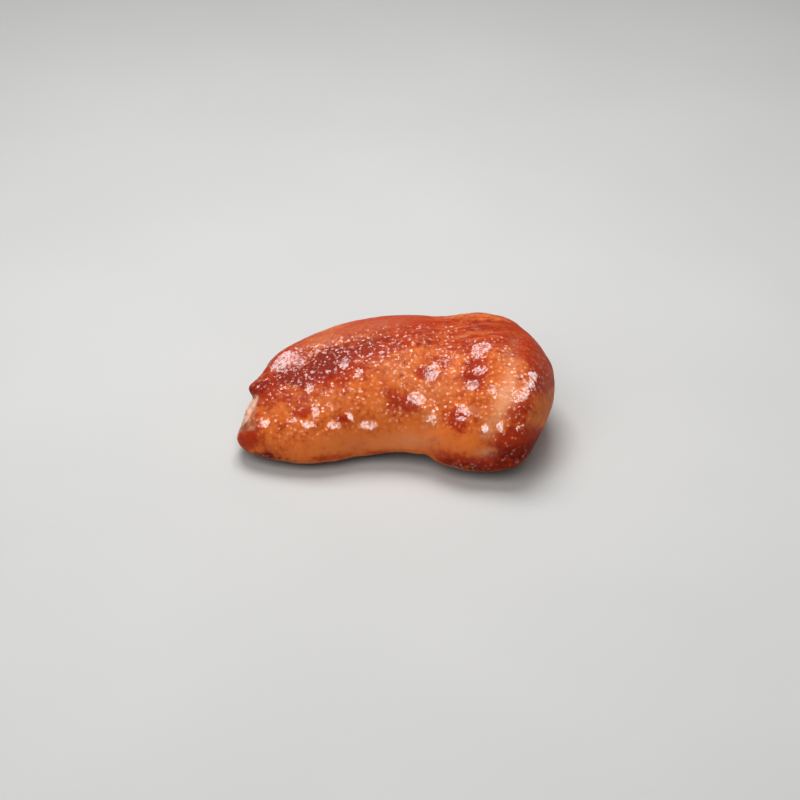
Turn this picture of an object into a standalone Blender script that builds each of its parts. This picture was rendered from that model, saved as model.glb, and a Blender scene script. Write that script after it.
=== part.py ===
"""Roast duck breast, lying on its meat side with the skin up: one closed solid.

A subdivided cube is laid onto a loft of hand-set cross-sections, which gives it an
even grid of faces with no pinched poles. Sizes here are in millimetres and become
metres in the mesh. +X is the thick round end, -X the thin torn end, -Y the front
edge and +Z is up. The origin is the centre of the base of the finished box.
"""
from typing import NamedTuple

import bmesh
import bpy
import numpy as np

NAME = "roast_duck_breast"
METRES_PER_MM = 0.001

# Driving dimensions: the finished piece fills this box.
LENGTH = 155.0
WIDTH = 101.2
HEIGHT = 53.6

# Faces along each edge of the starting cube; its long sides get twice as many.
CELLS = 20

# Where the loft's two ends close, and how blunt each end is (2 is an ellipse).
TORN_END_X = -68.4
ROUND_END_X = 75.8
TORN_END_POWER = 5.5
ROUND_END_POWER = 2.15

# Share of the way from end to end, measured over the surface, that each cap takes.
TORN_CAP_SHARE = 0.14
ROUND_CAP_SHARE = 0.15

# Roundness of the four quarters of a cross-section (2 is an ellipse).
FRONT_TOP_POWER = 1.8
HEAD_TOP_POWER = 2.5
FRONT_UNDER_POWER = 3.0
BACK_TOP_POWER = 2.15
BACK_UNDER_POWER = 2.6

# How much closer together the columns of faces lie on the skin than underneath.
SKIN_CROWDING = 0.25

# The torn end slants: millimetres along x for each millimetre across and up.
TORN_SLANT_ACROSS = 0.22
TORN_SLANT_UP = 0.2

# The round end's lower front is drawn in by this much.
ROUND_FRONT_DRAWN_IN = 2.6

# The skin face leans back, so places on it are given by x and by their rise: the
# distance up the face, square to a line that looks down on it at this angle.
FACE_ANGLE = np.radians(32.0)

# The base is pressed flat; its edge turns up over a fillet of this size.
BASE_FILLET = 1.6
CUP_DEPTH = 5.0
CUP_HALF_LENGTH = 44.0
CUP_HALF_WIDTH = 23.0


class Section(NamedTuple):
    """One cross-section of the loft."""

    x: float
    front_y: float
    back_y: float
    ridge_z: float
    ridge_y: float
    front_z: float
    back_z: float
    under_z: float
    core_y: float
    core_z: float


SECTIONS = (
    Section(-78.0, -34.0, 30.0, 39.5, 6.0, 13.0, 14.0, 1.0, -6.0, 19.0),
    Section(-60.0, -38.6, 36.5, 39.6, 9.0, 14.0, 15.0, -3.0, -5.0, 20.0),
    Section(-38.0, -42.0, 40.0, 43.8, 12.0, 15.0, 17.0, -4.0, -3.0, 23.0),
    Section(-14.0, -36.5, 43.0, 50.0, 13.0, 17.0, 19.0, -3.0, -1.0, 24.0),
    Section(8.0, -38.5, 43.5, 52.3, 11.0, 17.0, 20.0, 1.5, 2.0, 25.0),
    Section(26.0, -50.5, 47.0, 52.5, 9.0, 17.0, 21.0, -2.5, 1.0, 25.0),
    Section(46.0, -62.5, 52.0, 59.5, 7.0, 17.0, 22.0, -5.5, -2.0, 25.5),
    Section(62.0, -72.0, 52.0, 62.0, 4.0, 16.0, 23.0, -5.5, -2.0, 27.0),
    Section(78.0, -60.0, 46.0, 50.5, 2.0, 22.0, 26.0, 1.0, 1.0, 28.0),
)


class Swelling(NamedTuple):
    """A soft raised place on the skin face."""

    x: float
    rise: float
    half_width: float
    half_rise: float
    height: float


SWELLINGS = (
    Swelling(67.0, 15.0, 11.0, 18.0, 5.0),
    Swelling(-15.0, 16.0, 24.0, 13.0, 1.2),
)


class Facet(NamedTuple):
    """A small elliptical place on the skin face that slopes along x and up the face."""

    x: float
    rise: float
    half_length: float
    half_breadth: float
    turn_degrees: float
    slope_x: float
    slope_rise: float


FACETS = (
    Facet(18.8, 27.7, 8.8, 5.8, 60.0, 0.0, -0.05),
    Facet(9.5, 15.0, 8.0, 5.3, -15.0, -0.05, -0.2),
    Facet(40.3, 39.5, 9.6, 4.5, 8.0, -0.05, 0.08),
    Facet(38.9, 28.7, 6.7, 4.2, 20.0, -0.1, 0.0),
    Facet(44.7, 18.9, 7.2, 4.8, -60.0, 0.0, -0.1),
    Facet(32.5, 11.1, 6.4, 4.0, -30.0, -0.08, -0.15),
    Facet(60.9, 17.5, 9.6, 5.3, 12.0, 0.22, -0.08),
    Facet(-12.5, 2.3, 7.0, 4.0, 0.0, 0.02, -0.21),
    Facet(-28.6, 2.3, 6.4, 4.0, 0.0, 0.0, -0.21),
    Facet(-36.9, 8.2, 6.7, 4.0, 80.0, -0.03, -0.18),
    Facet(-60.9, 3.3, 5.4, 4.8, 90.0, -0.09, -0.19),
    Facet(-24.2, 31.6, 6.7, 4.0, 60.0, -0.07, 0.0),
)


class Fold(NamedTuple):
    """A crease up the skin face, at x + lean * rise + curve * rise squared."""

    x: float
    lean: float
    curve: float
    half_width: float
    depth: float
    first_rise: float
    last_rise: float


FOLD_FADE = 7.0
FOLDS = (
    Fold(43.0, 0.22, 0.0025, 5.0, 1.7, -16.0, 49.0),
    Fold(14.3, 0.0, 0.0, 3.2, 1.8, -40.0, 3.0),
    Fold(21.5, 0.20, 0.0, 4.0, 0.9, 3.0, 43.0),
)


def step(start, end, value):
    """A smooth step from 0 at start to 1 at end."""
    part = np.clip((value - start) / (end - start), 0.0, 1.0)
    return part * part * (3.0 - 2.0 * part)


def bell(distance, half_width):
    """A smooth bump of height 1 that has faded to a third at half_width."""
    return np.exp(-(distance / half_width) ** 2)


def along(x, field):
    """The value of one field of the sections at x, on a smooth curve through them."""
    places = np.array([section.x for section in SECTIONS])
    values = np.array([getattr(section, field) for section in SECTIONS])
    slopes = np.gradient(values, places)
    first = np.clip(np.searchsorted(places, x) - 1, 0, len(places) - 2)
    gap = places[first + 1] - places[first]
    part = np.clip((x - places[first]) / gap, 0.0, 1.0)
    start = (1.0 + 2.0 * part) * (1.0 - part) ** 2 * values[first]
    start_slope = part * (1.0 - part) ** 2 * gap * slopes[first]
    end = part * part * (3.0 - 2.0 * part) * values[first + 1]
    end_slope = part * part * (part - 1.0) * gap * slopes[first + 1]
    return start + start_slope + end + end_slope


def closing(way):
    """Place along the length, -1 to 1, and section scale, for even steps of way."""
    fine = -np.cos(np.linspace(0.0, np.pi, 4001))
    power = np.where(fine < 0.0, TORN_END_POWER, ROUND_END_POWER)
    scale = np.maximum(1.0 - np.abs(fine) ** power, 0.0) ** (1.0 / power)
    strides = np.hypot(np.diff(fine) * LENGTH / 2.0, np.diff(scale) * WIDTH * 0.39)
    walked = np.concatenate([[0.0], np.cumsum(strides)])
    walked /= walked[-1]
    return np.interp(way, walked, fine), np.interp(way, walked, scale)


def facet_height(x, rise):
    """Height of the facets, each a slope about its centre that fades away around it."""
    height = np.zeros_like(x)
    for facet in FACETS:
        turn = np.radians(facet.turn_degrees)
        across, up = x - facet.x, rise - facet.rise
        lengthwise = (across * np.cos(turn) + up * np.sin(turn)) / facet.half_length
        breadthwise = (up * np.cos(turn) - across * np.sin(turn)) / facet.half_breadth
        fade = np.exp(-np.hypot(lengthwise, breadthwise) ** 4)
        height += (facet.slope_x * across + facet.slope_rise * up) * fade
    return height


def relief(x, rise, depth):
    """Height of the swellings and facets less the depth of the folds, on the skin face."""
    height = np.zeros_like(x)
    for item in SWELLINGS:
        across = (x - item.x) / item.half_width
        height += item.height * bell(np.hypot(across, (rise - item.rise) / item.half_rise), 1.0)
    height += facet_height(x, rise)
    for fold in FOLDS:
        away = x - (fold.x + fold.lean * rise + fold.curve * rise ** 2)
        starts = step(fold.first_rise - FOLD_FADE, fold.first_rise + FOLD_FADE, rise)
        ends = step(fold.last_rise + FOLD_FADE, fold.last_rise - FOLD_FADE, rise)
        height -= fold.depth * bell(away, fold.half_width) * starts * ends
    return height * step(10.0, -12.0, depth)


def tear(x, rise, depth):
    """Shift along x of the torn end: a step back, a flap, a notch and the low tip."""
    near_end = step(-50.0, -64.0, x)
    skin_edge = step(-4.0, -22.0, depth)
    step_back = 1.8 * step(19.0, 27.0, rise) * step(44.0, 34.0, rise)
    flap = -2.6 * bell(rise - 21.0, 4.0)
    notch = 1.5 * bell(rise - 14.6, 3.2)
    tip = -1.5 * bell(rise + 4.5, 6.0)
    return near_end * (skin_edge * (step_back + flap + notch) + tip)


def press_flat(z):
    """Heights below the base become 0, through a fillet."""
    turned = (z + BASE_FILLET) ** 2 / (4.0 * BASE_FILLET)
    return np.where(z < -BASE_FILLET, 0.0, np.where(z < BASE_FILLET, turned, z))


def surface(way, around):
    """Points of the breast in millimetres.

    way runs from 0 at the torn end to 1 at the round end, and around is the angle in
    the cross-section: 0 at the back edge, a quarter turn at the ridge, half a turn at
    the front edge.
    """
    place, scale = closing(way)
    x = (TORN_END_X + ROUND_END_X) / 2.0 + (ROUND_END_X - TORN_END_X) / 2.0 * place

    cosine, sine = np.cos(around), np.sin(around)
    top, back = sine >= 0.0, cosine >= 0.0
    back_power = np.where(top, BACK_TOP_POWER, BACK_UNDER_POWER)
    front_top = FRONT_TOP_POWER + (HEAD_TOP_POWER - FRONT_TOP_POWER) * step(30.0, 60.0, x)
    front_power = np.where(top, front_top, FRONT_UNDER_POWER)
    power = np.where(back, back_power, front_power)
    reach = (np.abs(cosine) ** power + np.abs(sine) ** power) ** (-1.0 / power)

    ridge_y = along(x, "ridge_y")
    edge_y = np.where(back, along(x, "back_y"), along(x, "front_y"))
    edge_z = np.where(back, along(x, "back_z"), along(x, "front_z"))
    half_z = np.where(top, along(x, "ridge_z") - edge_z, edge_z - along(x, "under_z"))
    core_y, core_z = along(x, "core_y"), along(x, "core_z")
    ray_y = ridge_y + np.abs(edge_y - ridge_y) * reach * cosine - core_y
    ray_z = edge_z + half_z * reach * sine - core_z
    y = core_y + ray_y * scale
    z = core_z + ray_z * scale

    # The torn end slants, and the round end's lower front is drawn in.
    rise = y * np.sin(FACE_ANGLE) + z * np.cos(FACE_ANGLE)
    torn = step(-25.0, -68.0, x)
    x = x + torn * (TORN_SLANT_ACROSS * (y + 5.0) + TORN_SLANT_UP * (z - 20.0))
    x = x - ROUND_FRONT_DRAWN_IN * step(55.0, 77.0, x) * step(16.0, -8.0, rise)

    depth = y * np.cos(FACE_ANGLE) - z * np.sin(FACE_ANGLE)
    raised = relief(x, rise, depth) * scale / np.hypot(ray_y, ray_z)
    x = x + tear(x, rise, depth)
    y = y + ray_y * raised
    z = press_flat(z + ray_z * raised)

    underside = step(-0.2, -0.8, sine)
    cup = np.exp(-(x / CUP_HALF_LENGTH) ** 4 - (y / CUP_HALF_WIDTH) ** 4)
    z = z + CUP_DEPTH * underside * cup
    return np.stack([x, y, z], axis=-1)


def cube_to_surface(cube):
    """Lay the points of a 2 mm cube centred on the origin onto the surface."""
    ring = np.maximum(np.abs(cube[:, 1]), np.abs(cube[:, 2]))
    size = np.maximum(ring, 1e-9)
    eighth_turn = np.pi / 4.0
    around = np.arctan2(
        np.tan(eighth_turn * cube[:, 2] / size), np.tan(eighth_turn * cube[:, 1] / size)
    )
    around = around + SKIN_CROWDING * np.cos(around)
    side_share = 1.0 - TORN_CAP_SHARE - ROUND_CAP_SHARE
    way = TORN_CAP_SHARE + side_share * (cube[:, 0] + 1.0) / 2.0
    way = np.where(cube[:, 0] < -0.9999, TORN_CAP_SHARE * ring, way)
    way = np.where(cube[:, 0] > 0.9999, 1.0 - ROUND_CAP_SHARE * ring, way)
    return surface(way, around)


def fit_to_box(points):
    """Stretch the points onto the driving dimensions, base centre at the origin."""
    low, high = points.min(axis=0), points.max(axis=0)
    box = np.array([LENGTH, WIDTH, HEIGHT])
    centred = (points - (low + high) / 2.0) / (high - low) * box
    return centred + np.array([0.0, 0.0, HEIGHT / 2.0])


def breast_mesh():
    """The closed mesh of the whole piece."""
    shape = bmesh.new()
    bmesh.ops.create_cube(shape, size=2.0)
    bmesh.ops.subdivide_edges(shape, edges=shape.edges[:], cuts=CELLS - 1, use_grid_fill=True)
    lengthwise = [e for e in shape.edges if abs(e.verts[0].co.x - e.verts[1].co.x) > 1e-4]
    bmesh.ops.subdivide_edges(shape, edges=lengthwise, cuts=1)
    cube = np.array([vertex.co[:] for vertex in shape.verts])
    points = fit_to_box(cube_to_surface(cube)) * METRES_PER_MM
    for vertex, point in zip(shape.verts, points):
        vertex.co = point
    bmesh.ops.recalc_face_normals(shape, faces=shape.faces[:])
    mesh = bpy.data.meshes.new(NAME)
    shape.to_mesh(mesh)
    shape.free()
    mesh.shade_smooth()
    return mesh


def roasted_skin():
    """Glazed reddish-brown skin."""
    material = bpy.data.materials.new("roasted_skin")
    material.use_nodes = True
    shader = material.node_tree.nodes["Principled BSDF"]
    shader.inputs["Base Color"].default_value = (0.5, 0.125, 0.058, 1.0)
    shader.inputs["Roughness"].default_value = 0.3
    shader.inputs["Metallic"].default_value = 0.0
    return material


def main():
    for item in list(bpy.data.objects):
        bpy.data.objects.remove(item, do_unlink=True)
    collection = bpy.data.collections.new("roast_duck_breast_parts")
    bpy.context.scene.collection.children.link(collection)
    mesh = breast_mesh()
    mesh.materials.append(roasted_skin())
    breast = bpy.data.objects.new(NAME, mesh)
    collection.objects.link(breast)


main()
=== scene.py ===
"""Roast duck breast: glazed skin over roasted meat, on a pale floor."""

from typing import NamedTuple

import bpy
import numpy as np
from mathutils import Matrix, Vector


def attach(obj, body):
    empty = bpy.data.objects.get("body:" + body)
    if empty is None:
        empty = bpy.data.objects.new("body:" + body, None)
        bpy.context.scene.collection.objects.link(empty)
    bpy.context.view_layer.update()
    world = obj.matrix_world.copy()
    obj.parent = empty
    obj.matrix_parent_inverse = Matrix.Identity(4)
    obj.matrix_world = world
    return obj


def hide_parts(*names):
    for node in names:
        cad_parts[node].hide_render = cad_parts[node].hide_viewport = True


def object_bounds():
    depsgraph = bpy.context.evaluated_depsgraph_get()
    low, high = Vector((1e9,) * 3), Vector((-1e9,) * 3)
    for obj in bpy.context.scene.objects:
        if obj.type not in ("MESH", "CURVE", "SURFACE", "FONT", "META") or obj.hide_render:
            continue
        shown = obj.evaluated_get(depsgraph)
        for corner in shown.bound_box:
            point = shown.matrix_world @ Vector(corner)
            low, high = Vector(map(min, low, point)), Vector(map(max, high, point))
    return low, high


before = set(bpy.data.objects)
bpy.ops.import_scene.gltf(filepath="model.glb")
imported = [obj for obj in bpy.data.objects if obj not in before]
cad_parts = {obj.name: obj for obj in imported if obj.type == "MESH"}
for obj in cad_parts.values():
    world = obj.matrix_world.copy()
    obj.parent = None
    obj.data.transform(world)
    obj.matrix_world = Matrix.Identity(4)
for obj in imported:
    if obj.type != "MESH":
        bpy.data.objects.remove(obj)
cad_low, cad_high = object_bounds()

METRES_PER_MM = 0.001

# Rings from end to end and columns around. Each pole is one point. The columns stand closer
# together at the ridge, by the share SKIN_CROWDING, and as much further apart underneath.
RINGS = 296
COLUMNS = 334
SKIN_CROWDING = 0.3

# The loft that part.py makes, in millimetres.
LENGTH = 155.0
WIDTH = 101.2
TORN_END_X = -68.4
ROUND_END_X = 75.8
TORN_END_POWER = 5.5
ROUND_END_POWER = 2.15
FRONT_TOP_POWER = 1.8
HEAD_TOP_POWER = 2.5
FRONT_UNDER_POWER = 3.0
BACK_TOP_POWER = 2.15
BACK_UNDER_POWER = 2.6
TORN_SLANT_ACROSS = 0.22
TORN_SLANT_UP = 0.2
TORN_MIDDLE_Y = -5.0
TORN_MIDDLE_Z = 20.0
ROUND_FRONT_DRAWN_IN = 2.6
FACE_ANGLE = np.radians(32.0)
BASE_FILLET = 1.6
CUP_DEPTH = 5.0
CUP_HALF_LENGTH = 44.0
CUP_HALF_WIDTH = 23.0

# The walk from end to end has this many places, and takes a cross-section's outline to be
# this share of the width away from its core.
CLOSING_PLACES = 4001
MEAN_REACH = 0.39

# Where each change along x is nothing and where it is full.
HEAD_SPAN = (30.0, 60.0)
TORN_SLANT_SPAN = (-25.0, -68.0)
DRAWN_IN_SPAN = (55.0, 77.0)
TEAR_SPAN = (-50.0, -64.0)
CUT_SPAN = (-52.0, -60.0)

# The same up the skin face, and behind it.
DRAWN_IN_RISES = (16.0, -8.0)
STEP_BACK_STARTS = (19.0, 27.0)
STEP_BACK_ENDS = (44.0, 34.0)
STRIP_STARTS = (-3.0, 2.0)
STRIP_ENDS = (19.0, 14.0)
FACING_DEPTHS = (10.0, -12.0)
TEAR_DEPTHS = (-4.0, -22.0)
CUT_DEPTHS = (-4.0, -18.0)

# The same up from the base.
BASE_HEIGHTS = (1.5, 0.2)
MEAT_HEIGHTS = (7.5, 4.5)

# The camera looks down on the breast at the photograph's angle. Its places are in metres.
CAMERA_ELEVATION = np.radians(32.0)
CAMERA_DISTANCE = 1.0354
CAMERA_LENS = 93.75
CAMERA_SENSOR = 36.0
NEAREST_SEEN = 0.05
FARTHEST_SEEN = 20.0
AIM = (0.00174, 0.00819, 0.01311)
SEEN_CENTRE = np.array([0.0, 0.00964, 0.01543])
EYE = SEEN_CENTRE + CAMERA_DISTANCE * np.array(
    [0.0, -np.cos(CAMERA_ELEVATION), np.sin(CAMERA_ELEVATION)]
)

# The place that the lamps face, and where the one that the gleams mirror hangs.
LAMPS_FACE = np.array([0.0, 0.0, 0.03])
KEY_HEADING = 15.0
KEY_ELEVATION = 107.0
KEY_DISTANCE = 0.8


def lamp_place(heading, elevation, distance):
    """A place that far from where the lamps face, in metres.

    The heading is measured from the camera's side towards the round end, and the elevation
    from the floor, both in degrees.
    """
    turn, up = np.radians(heading), np.radians(elevation)
    away = np.array([np.sin(turn) * np.cos(up), -np.cos(turn) * np.cos(up), np.sin(up)])
    return LAMPS_FACE + away * distance


KEY_LAMP = lamp_place(KEY_HEADING, KEY_ELEVATION, KEY_DISTANCE)


class Section(NamedTuple):
    """One cross-section of the loft: its ridge, its two edges, its base and its core."""

    x: float
    front_y: float
    back_y: float
    ridge_z: float
    ridge_y: float
    front_z: float
    back_z: float
    under_z: float
    core_y: float
    core_z: float


SECTIONS = (
    Section(-78.0, -34.0, 30.0, 39.5, 6.0, 13.0, 14.0, 1.0, -6.0, 19.0),
    Section(-60.0, -38.6, 36.5, 39.6, 9.0, 14.0, 15.0, -3.0, -5.0, 20.0),
    Section(-38.0, -42.0, 40.0, 43.8, 12.0, 15.0, 17.0, -4.0, -3.0, 23.0),
    Section(-14.0, -36.5, 43.0, 50.0, 13.0, 17.0, 19.0, -3.0, -1.0, 24.0),
    Section(8.0, -38.5, 43.5, 52.3, 11.0, 17.0, 20.0, 1.5, 2.0, 25.0),
    Section(26.0, -50.5, 47.0, 52.5, 9.0, 17.0, 21.0, -2.5, 1.0, 25.0),
    Section(46.0, -62.5, 52.0, 59.5, 7.0, 17.0, 22.0, -5.5, -2.0, 25.5),
    Section(62.0, -72.0, 52.0, 62.0, 4.0, 16.0, 23.0, -5.5, -2.0, 27.0),
    Section(78.0, -60.0, 46.0, 50.5, 2.0, 22.0, 26.0, 1.0, 1.0, 28.0),
)


class Swelling(NamedTuple):
    """A soft raised place on the skin face."""

    x: float
    rise: float
    half_width: float
    half_rise: float
    height: float


MUSCLES = (
    Swelling(67.0, 15.0, 11.0, 18.0, 5.0),
    Swelling(-15.0, 16.0, 24.0, 13.0, 1.2),
)


class Fold(NamedTuple):
    """A crease up the skin face, at x + lean * rise + curve * rise squared."""

    x: float
    lean: float
    curve: float
    half_width: float
    depth: float
    first_rise: float
    last_rise: float


FOLD_FADE = 7.0
FOLDS = (
    Fold(43.0, 0.22, 0.0025, 5.0, 1.7, -16.0, 49.0),
    Fold(14.3, 0.0, 0.0, 3.2, 1.8, -40.0, 3.0),
    Fold(21.5, 0.20, 0.0, 4.0, 0.9, 3.0, 43.0),
)


class Jag(NamedTuple):
    """A rise at which the torn end is pushed along x, in or out."""

    rise: float
    half_rise: float
    push: float


FLAP = Jag(21.0, 4.0, -2.6)
NOTCH = Jag(14.6, 3.2, 1.5)
TIP = Jag(-4.5, 6.0, -1.5)
STEP_BACK = 1.8


class Patch(NamedTuple):
    """A soft-edged elliptical area of the skin face, its length turned from +X in degrees."""

    x: float
    rise: float
    half_length: float
    half_breadth: float
    turn: float
    amount: float


class Waves(NamedTuple):
    """Seeded relief: the size of its features and its height in millimetres."""

    size: float
    height: float
    seed: int


BROAD_WAVES = Waves(15.0, 0.40, 1)
SHORT_WAVES = Waves(6.5, 0.28, 2)
GOOSE_WAVES = Waves(2.6, 0.10, 3)
GLAZE_WAVES = Waves(2.2, 0.12, 5)
FIBRE_WAVES = Waves(2.4, 0.35, 6)
FIBRE_STRETCH = np.array([0.35, 1.0, 1.0])
GOOSE_STUDS = Waves(3.0, 0.09, 4)
STUD_RADIUS = 0.9
MEAT_SINK = 0.25

# Noise that moves the edges between looks, and that mottles the side that isn't seen.
WANDER_SIZE, WANDER_SEED = 9.0, 11
DRIFT_SIZE, DRIFT_SEED = 26.0, 21


class Facet(NamedTuple):
    """A shallow elliptical place that slopes along x and up the face."""

    x: float
    rise: float
    half_length: float
    half_breadth: float
    turn: float
    slope_x: float
    slope_rise: float


FACETS = (
    Facet(18.8, 27.7, 8.8, 5.8, 60.0, 0.0, -0.05),
    Facet(9.5, 15.0, 8.0, 5.3, -15.0, -0.05, -0.2),
    Facet(40.3, 39.5, 9.6, 4.5, 8.0, -0.05, 0.08),
    Facet(38.9, 28.7, 6.7, 4.2, 20.0, -0.1, 0.0),
    Facet(44.7, 18.9, 7.2, 4.8, -60.0, 0.0, -0.1),
    Facet(32.5, 11.1, 6.4, 4.0, -30.0, -0.08, -0.15),
    Facet(60.9, 17.5, 9.6, 5.3, 12.0, 0.22, -0.08),
    Facet(-12.5, 2.3, 7.0, 4.0, 0.0, 0.02, -0.21),
    Facet(-28.6, 2.3, 6.4, 4.0, 0.0, 0.0, -0.21),
    Facet(-36.9, 8.2, 6.7, 4.0, 80.0, -0.03, -0.18),
    Facet(-60.9, 3.3, 5.4, 4.8, 90.0, -0.09, -0.19),
    Facet(-24.2, 31.6, 6.7, 4.0, 60.0, -0.07, 0.0),
)

# Where the glaze has set flat and gleams.
GLEAM_PATCHES = (
    Patch(17.0, 27.5, 5.5, 3.5, 60.0, 1.0),
    Patch(9.5, 15.0, 5.0, 3.5, -15.0, 1.0),
    Patch(40.5, 39.5, 6.0, 3.0, 8.0, 0.9),
    Patch(38.0, 35.5, 4.0, 2.5, 0.0, 0.6),
    Patch(39.0, 28.5, 4.0, 2.5, 20.0, 1.0),
    Patch(35.5, 21.5, 4.5, 3.0, 20.0, 0.75),
    Patch(44.5, 19.0, 4.5, 3.0, -60.0, 0.6),
    Patch(31.0, 10.0, 4.5, 2.5, -35.0, 1.0),
    Patch(30.0, 5.5, 3.5, 1.5, 0.0, 0.7),
    Patch(16.5, 5.5, 3.5, 2.5, 70.0, 0.55),
    Patch(57.0, 16.5, 5.0, 3.5, 20.0, 1.0),
    Patch(61.5, 20.5, 4.0, 3.0, 40.0, 0.9),
    Patch(63.5, 26.0, 3.5, 2.0, -20.0, 0.9),
    Patch(47.5, 2.0, 3.0, 2.0, 80.0, 0.8),
    Patch(57.5, 2.0, 4.0, 1.5, 15.0, 0.85),
    Patch(41.0, 1.0, 2.5, 2.0, 80.0, 0.65),
    Patch(-12.5, 2.5, 4.5, 2.5, 0.0, 1.0),
    Patch(-28.5, 2.5, 4.0, 2.5, 0.0, 0.8),
    Patch(-40.5, 2.5, 3.5, 2.0, 0.0, 0.95),
    Patch(-37.0, 8.0, 4.0, 2.0, 80.0, 1.0),
    Patch(-40.0, 20.0, 3.0, 2.0, 80.0, 1.0),
    Patch(-21.0, 6.5, 2.5, 1.5, -65.0, 0.8),
    Patch(-48.0, 5.0, 3.0, 2.0, 0.0, 0.65),
    Patch(-61.0, 3.5, 3.5, 3.0, 90.0, 0.7),
    Patch(-24.0, 31.5, 4.0, 2.5, 60.0, 0.8),
    Patch(-17.5, 27.0, 4.0, 3.0, 60.0, 0.6),
    Patch(-5.0, 38.0, 4.0, 3.0, 20.0, 0.5),
    Patch(-53.5, 33.0, 8.5, 4.5, 38.0, 0.72),
    Patch(-45.5, 31.0, 4.0, 3.0, 30.0, 0.45),
    Patch(-40.5, 36.5, 7.5, 4.5, 33.0, 0.32),
    Patch(-29.0, 40.5, 7.5, 3.5, 25.0, 0.3),
    Patch(-16.0, 42.0, 7.5, 3.5, 20.0, 0.28),
    Patch(-34.0, 27.0, 6.0, 3.5, 20.0, 0.28),
)
# The most that the glaze of a gleam leans, as a slope, and how far beyond its shine.
LEAN_LIMIT = 1.05
LEAN_REACH = 1.3

# Where the skin is roasted darkest. The patches along the lower edge that it rests on and along the
# round end's right edge are darker skin and painted shade.
DARK_PATCHES = (
    Patch(-56.0, 31.0, 9.0, 5.0, 38.0, 0.4),
    Patch(-58.5, 22.0, 12.5, 4.5, 35.0, 0.35),
    Patch(-37.5, 29.0, 14.5, 8.5, 20.0, 0.75),
    Patch(-22.0, 38.5, 16.5, 5.5, 25.0, 0.7),
    Patch(-6.0, 42.5, 10.0, 4.0, 15.0, 0.5),
    Patch(-65.0, 20.5, 6.0, 3.5, 20.0, 0.8),
    Patch(-46.0, 25.5, 7.0, 4.0, 20.0, 0.7),
    # Along the lower edge that it rests on: darker skin and painted shade.
    Patch(55.5, -10.0, 12.5, 4.5, 2.0, 1.0),
    Patch(51.5, -17.5, 16.5, 2.5, 0.0, 0.8),
    Patch(66.5, -5.0, 3.5, 8.0, -60.0, 0.8),
    Patch(27.0, -16.0, 11.5, 2.0, -12.0, 0.8),
    Patch(-61.0, -12.5, 9.0, 2.5, -10.0, 1.0),
    Patch(35.5, 25.0, 2.5, 4.5, 70.0, 0.7),
    Patch(36.0, 31.5, 3.0, 4.0, 70.0, 0.45),
    Patch(56.5, 9.5, 5.0, 3.0, 60.0, 0.15),
    Patch(66.5, 21.5, 5.5, 2.0, -30.0, 0.25),
    # This patch, along the round end's right edge, is darker skin and painted shade.
    Patch(75.5, 22.0, 2.0, 14.5, -85.0, 0.25),
    Patch(15.0, 28.0, 2.0, 4.5, 75.0, 0.5),
    Patch(12.5, 41.5, 6.0, 2.5, 10.0, 0.4),
    Patch(43.0, 50.0, 20.0, 5.0, 0.0, 0.55),
)

# Where the edge that it rests on is charred, and painted darker still as shade where it meets the
# floor.
CHAR_AND_SHADE_PATCHES = (
    Patch(56.0, -12.5, 13.0, 5.0, 4.0, 0.8),
    Patch(32.0, -17.0, 12.0, 2.5, -12.0, 0.8),
    Patch(-60.0, -13.0, 9.0, 2.5, -10.0, 0.7),
)

# Where it is a clear red rather than orange.
RED_PATCHES = (
    Patch(40.0, 43.0, 22.0, 5.0, 0.0, 0.5),
    Patch(59.5, 40.5, 6.0, 5.0, 0.0, 0.5),
    Patch(-54.5, 32.0, 13.0, 8.0, 36.0, 1.0),
    Patch(60.0, 42.0, 12.0, 6.0, -42.0, 0.8),
    Patch(-42.5, 8.5, 3.0, 3.5, 90.0, 1.0),
    Patch(-70.0, -3.0, 9.0, 6.0, 70.0, 0.72),
    Patch(-60.0, -8.0, 12.0, 4.0, -10.0, 0.35),
    Patch(-62.0, 18.5, 8.0, 4.5, 20.0, 1.0),
    Patch(-31.5, 28.0, 16.5, 8.0, 15.0, 0.9),
    Patch(-9.5, 41.5, 19.5, 7.0, 12.0, 0.8),
    Patch(-24.0, 5.0, 3.0, 2.5, 0.0, 0.8),
    Patch(5.0, 13.0, 5.0, 4.5, 0.0, 0.9),
    Patch(13.0, 27.5, 3.0, 5.0, 70.0, 1.0),
    Patch(28.0, 5.0, 5.0, 5.0, 0.0, 0.9),
    Patch(35.0, 24.5, 3.5, 5.0, 80.0, 1.0),
    Patch(46.5, 49.0, 12.5, 4.0, 0.0, 1.0),
    Patch(66.5, 38.0, 9.0, 7.0, -50.0, 1.0),
    Patch(69.5, 22.0, 3.0, 8.0, -80.0, 1.0),
    Patch(61.5, -3.0, 11.0, 4.5, 5.0, 1.0),
    Patch(51.5, -5.0, 10.0, 4.0, 0.0, 0.7),
    Patch(17.5, 49.0, 19.5, 4.5, 2.0, 0.8),
    Patch(29.5, 40.5, 6.0, 4.0, 20.0, 0.6),
    Patch(73.5, 31.5, 2.5, 10.0, -75.0, 0.9),
    Patch(-34.0, -13.5, 11.5, 2.0, 6.0, 0.55),
    Patch(-7.0, -11.0, 10.0, 1.5, 5.0, 0.5),
    Patch(27.0, -13.0, 11.5, 3.5, -12.0, 0.7),
    Patch(42.0, -16.0, 10.0, 3.0, 0.0, 0.6),
    Patch(56.0, -11.5, 15.0, 5.0, 3.0, 0.8),
    Patch(-17.0, 50.5, 29.5, 4.5, 14.0, 0.75),
    Patch(2.5, 53.5, 14.5, 2.5, 0.0, 0.7),
    Patch(-1.0, 14.5, 4.0, 5.0, 0.0, 0.6),
    Patch(57.0, 9.5, 8.0, 4.5, 60.0, 0.75),
    Patch(37.5, 30.0, 9.0, 5.0, 85.0, 0.9),
    Patch(70.0, 24.0, 5.0, 11.0, -10.0, 0.5),
    Patch(-46.0, 14.5, 10.0, 3.0, 0.0, 0.35),
    Patch(22.0, 31.5, 4.5, 4.0, 0.0, 0.6),
)

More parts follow.
